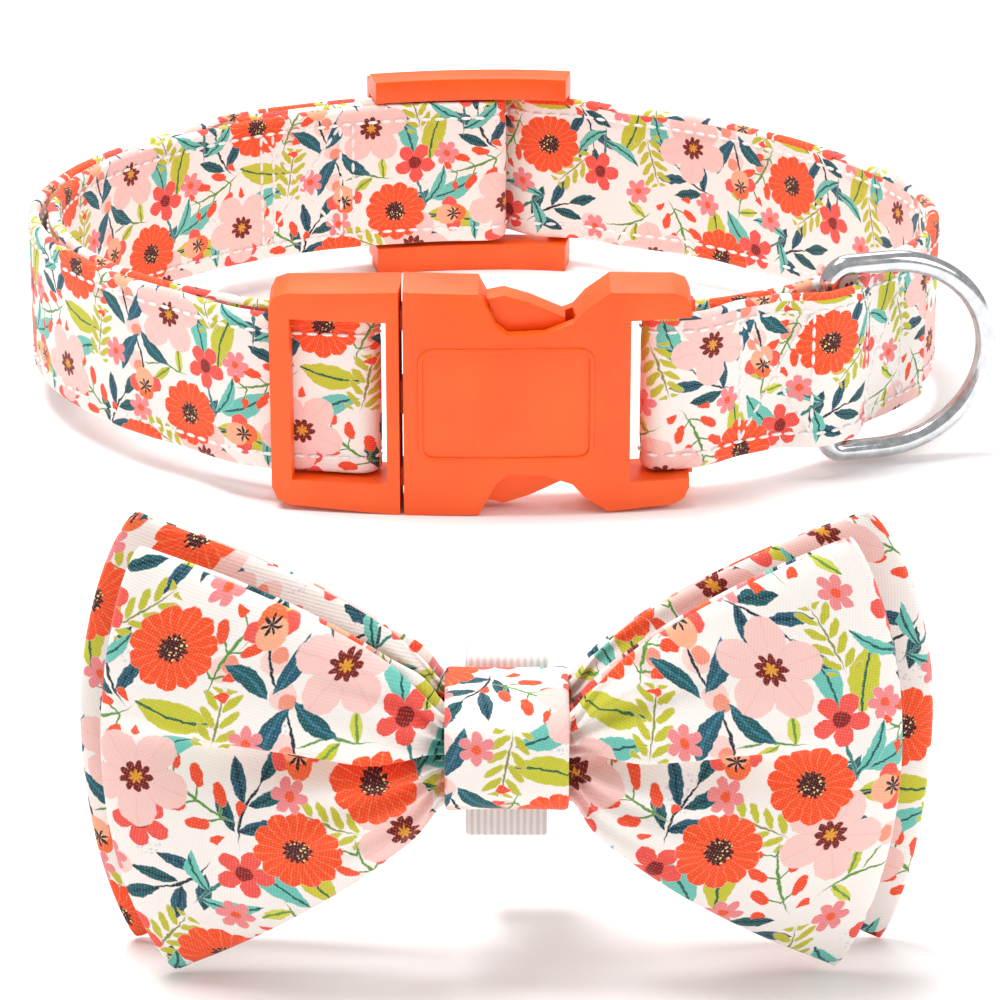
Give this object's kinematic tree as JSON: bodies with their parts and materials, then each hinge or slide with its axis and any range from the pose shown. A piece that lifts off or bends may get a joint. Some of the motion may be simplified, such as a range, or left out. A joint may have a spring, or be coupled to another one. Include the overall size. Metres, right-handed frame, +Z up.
{
  "type": "pet collar with bow tie",
  "caption": "Floral cotton pet collar with an orange side release buckle, slider and steel lead ring, and its two-layer bow tie standing in front.",
  "frame": {"origin": "middle of the footprint, on the surface that the collar and the bow stand on", "axes": "+Z up, +Y from the bow towards the back of the collar, +X to the right of the buckle seen from the front"},
  "size_m": [0.1504, 0.2588, 0.0572],
  "materials": {
    "printed_cotton": "matt woven cotton with a small floral print and white top stitching",
    "orange_plastic": "satin moulded acetal",
    "ring_steel": "nickel plated wire, polished",
    "elastic": "matt white ribbed elastic"
  },
  "bodies": {
    "collar": {"strap": "printed_cotton", "slider": "orange_plastic", "buckle_insert": "orange_plastic", "buckle_socket": "orange_plastic", "bow_front": "printed_cotton", "bow_back": "printed_cotton", "bow_knot": "printed_cotton", "bow_elastic": "elastic"},
    "lead_ring": {"d_ring": "ring_steel"}
  },
  "joints": [
    {"name": "lead_ring_swing", "type": "hinge", "parent": "collar", "child": "lead_ring", "pos_m": [0.04895, 0.03225, 0.0177], "axis": [0, 0, 1], "range_deg": [-120, 18]}
  ]
}
